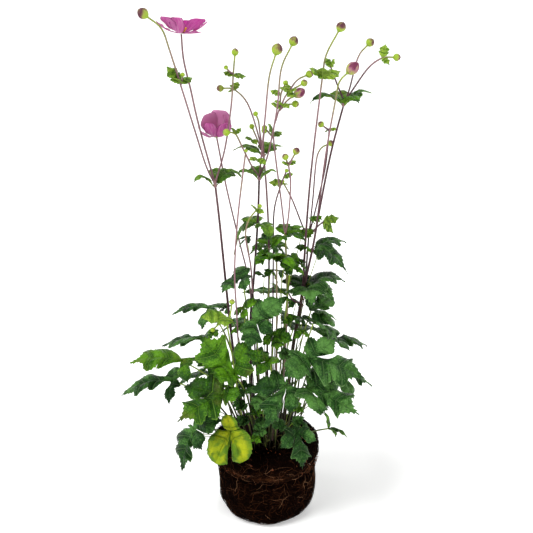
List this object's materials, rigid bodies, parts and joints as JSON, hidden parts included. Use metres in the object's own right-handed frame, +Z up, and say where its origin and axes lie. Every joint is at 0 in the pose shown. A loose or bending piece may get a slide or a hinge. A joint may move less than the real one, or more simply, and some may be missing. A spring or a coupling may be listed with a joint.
{
  "type": "potted anemone",
  "caption": "Tall garden perennial on a bare round root ball: lobed toothed leaves below, thin branching stems with whorls, round buds and pink cup-shaped blooms above.",
  "frame": {"origin": "centre of the flat underside of the root ball", "axes": "+Z up, along the stems; -Y towards the side that the picture shows"},
  "size_m": [0.3604, 0.2605, 0.6829],
  "materials": {
    "root_mat": "rough, damp, matted",
    "purple_stem": "satin",
    "olive_stem": "satin",
    "woody_stem": "matt",
    "deep_leaf": "soft satin",
    "fresh_leaf": "soft satin",
    "aged_leaf": "soft satin",
    "petal": "velvety",
    "stamen": "matt",
    "carpel": "matt"
  },
  "bodies": {
    "root": {"leaf_left_high": "fresh_leaf", "leaf_left_low": "deep_leaf", "leaf_left_top": "deep_leaf", "leaf_front_fresh": "fresh_leaf", "leaf_front_left": "fresh_leaf", "leaf_left_hang": "deep_leaf", "leaf_front_aged": "aged_leaf", "leaf_centre_big": "deep_leaf", "leaf_right_big": "deep_leaf", "leaf_right_mid": "deep_leaf", "leaf_right_back": "deep_leaf", "leaf_centre_high": "deep_leaf", "leaf_centre_mid": "fresh_leaf", "leaf_right_high": "deep_leaf", "leaf_right_narrow": "deep_leaf", "leaf_centre_dark": "deep_leaf", "leaf_low_right": "deep_leaf", "leaf_twisted": "fresh_leaf", "leaf_curled": "fresh_leaf", "leaf_mid_left": "fresh_leaf", "leaf_mid_right": "fresh_leaf", "leaf_left_inner": "fresh_leaf", "leaf_centre_low": "deep_leaf", "leaf_right_inner": "deep_leaf", "leaf_back_left_low": "deep_leaf", "leaf_back_low": "deep_leaf", "leaf_back_right_low": "deep_leaf", "leaf_back_left_mid": "deep_leaf", "leaf_back_mid": "deep_leaf", "leaf_back_right_mid": "deep_leaf", "leaf_right_behind": "deep_leaf", "leaf_back_high": "deep_leaf", "stem_left": "purple_stem", "stem_low_bloom": "purple_stem", "stem_seedhead": "olive_stem", "stem_mid_dark": "purple_stem", "stem_mid_pink": "purple_stem", "stem_mid_green": "olive_stem", "stem_thin": "purple_stem", "stem_woody": "woody_stem", "stem_young": "purple_stem", "stem_lime": "fresh_leaf", "whorl_left": "deep_leaf", "whorl_dark_top": "deep_leaf", "whorl_dark_low": "deep_leaf", "whorl_pink": "deep_leaf", "whorl_pink_low": "fresh_leaf", "whorl_green": "fresh_leaf", "whorl_woody": "deep_leaf", "whorl_woody_high": "deep_leaf", "whorl_red": "deep_leaf", "whorl_young": "fresh_leaf", "petals_high": "petal", "stamens_high": "stamen", "carpels_high": "carpel", "petals_low": "petal", "stamens_low": "stamen", "carpels_low": "carpel", "root_ball": "root_mat"}
  },
  "joints": []
}
